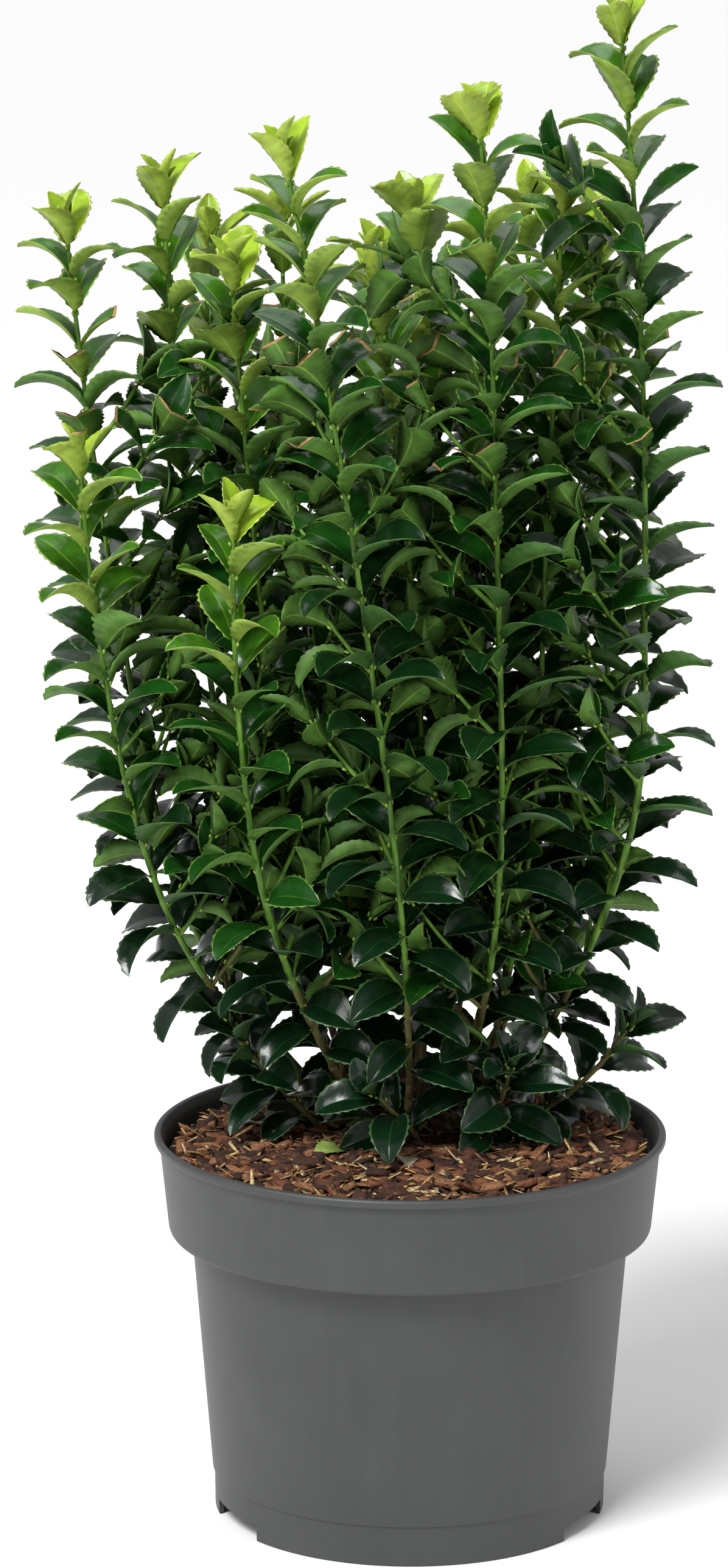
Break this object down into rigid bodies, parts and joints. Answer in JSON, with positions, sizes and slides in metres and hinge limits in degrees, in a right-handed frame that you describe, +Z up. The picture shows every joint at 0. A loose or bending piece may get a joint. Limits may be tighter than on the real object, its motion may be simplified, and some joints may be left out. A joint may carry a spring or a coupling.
{
  "type": "potted microphyllus japanese euonymus",
  "caption": "small-leaved evergreen shrub with upright leafy shoots from one crown, growing in bark mulch in a round plastic nursery pot with a deep collar",
  "frame": {"origin": "on the pot's axis, at the level its foot stands on, which is the flat pad under the pot's middle", "axes": "+Z up along the pot's axis, -Y towards the front of the plant as pictured, +X to the viewer's right"},
  "size_m": [0.2597, 0.2156, 0.5611],
  "materials": {
    "pot_plastic": "matt grey moulded plastic, slightly dusty",
    "bark_mulch": "loose chips of bark and straw",
    "stem_bark": "rough young bark",
    "leaf_green": "leathery leaves, glossy above and dull below"
  },
  "bodies": {
    "root": {"pot": "pot_plastic", "shoot_a": "leaf_green", "shoot_b": "leaf_green", "shoot_c": "leaf_green", "shoot_d": "leaf_green", "shoot_e": "leaf_green", "shoot_g": "leaf_green", "shoot_h": "leaf_green", "shoot_i": "leaf_green", "shoot_j": "leaf_green", "shoot_k": "leaf_green", "shoot_low_back_left": "leaf_green", "shoot_low_back_right": "leaf_green", "shoot_low_front": "leaf_green", "shoot_low_left": "leaf_green", "shoot_low_middle": "leaf_green", "shoot_low_right": "leaf_green", "shoot_m": "leaf_green", "shoot_n": "leaf_green", "shoot_o": "leaf_green", "shoot_s": "leaf_green", "shoot_t": "leaf_green", "shoot_u": "leaf_green", "shoot_v": "leaf_green", "shoot_w": "leaf_green", "soil": "bark_mulch", "stem_a": "stem_bark", "stem_b": "stem_bark", "stem_c": "stem_bark", "stem_e": "stem_bark", "stem_g": "stem_bark", "stem_h": "stem_bark", "stem_i": "stem_bark", "stem_j": "stem_bark", "stem_k": "stem_bark", "stem_m": "stem_bark", "stem_n": "stem_bark", "stem_o": "stem_bark", "stem_s": "stem_bark", "stem_t": "stem_bark", "stem_u": "stem_bark", "stem_v": "stem_bark", "stem_w": "stem_bark"}
  },
  "joints": []
}
